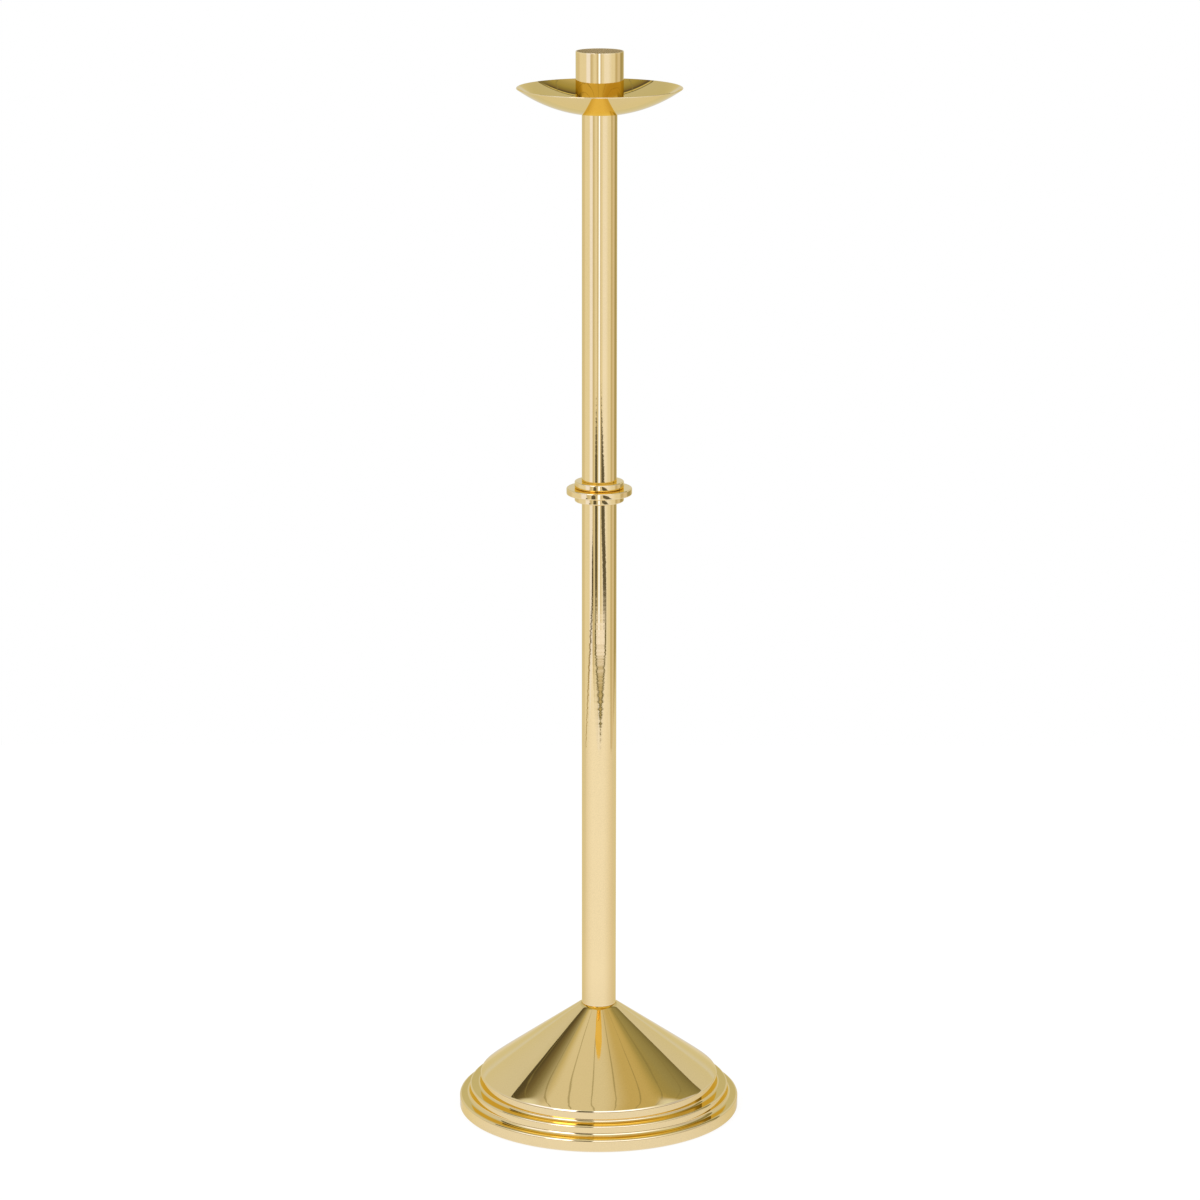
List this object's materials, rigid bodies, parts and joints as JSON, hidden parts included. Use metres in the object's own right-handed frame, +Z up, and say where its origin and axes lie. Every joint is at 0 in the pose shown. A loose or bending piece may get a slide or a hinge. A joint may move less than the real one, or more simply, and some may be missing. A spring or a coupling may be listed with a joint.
{
  "type": "paschal candlestick",
  "caption": "Tall brass candlestick: stepped conical base, tube stem with a ringed knop, dished drip pan and a candle cup that screws off.",
  "frame": {"origin": "centre of the felt's underside, on the floor", "axes": "+Z up along the stem's axis; the body is round, so X and Y have no preferred direction"},
  "size_m": [0.3128, 0.3128, 1.1848],
  "materials": {
    "polished_brass": "mirror polished and lacquered, faint spinning lines",
    "turned_brass": "turned, unpolished",
    "zinc_steel": "bright zinc plated",
    "cast_iron": "rough casting",
    "green_felt": "pressed wool felt"
  },
  "bodies": {
    "stand": {"base_shell": "polished_brass", "base_plate": "zinc_steel", "base_felt": "green_felt", "base_ballast": "cast_iron", "base_nut": "zinc_steel", "base_spring_washer": "zinc_steel", "base_washer": "zinc_steel", "tie_rod": "zinc_steel", "lower_foot_plug": "turned_brass", "lower_tube": "polished_brass", "lower_head_plug": "turned_brass", "knop_lower_ring": "polished_brass", "knop_middle_ring": "polished_brass", "knop_upper_ring": "polished_brass", "upper_foot_plug": "turned_brass", "upper_tube": "polished_brass", "upper_head_plug": "turned_brass", "rod_lock_nut": "zinc_steel", "drip_pan": "polished_brass"},
    "cup_screw": {"cup_hub": "turned_brass"},
    "cup": {"candle_cup": "polished_brass"}
  },
  "joints": [
    {"name": "cup_rise", "type": "slide", "parent": "stand", "child": "cup_screw", "axis": [0, 0, 1], "range_m": [0, 0.0103]},
    {"name": "cup_turn", "type": "hinge", "parent": "cup_screw", "child": "cup", "pos_m": [0, 0, 1.11983], "axis": [0, 0, 1], "range_deg": [0, 2340]}
  ],
  "couplings": [
    {"joint": "cup_turn", "follows": "cup_rise", "rad_per_m": 3957.9}
  ]
}
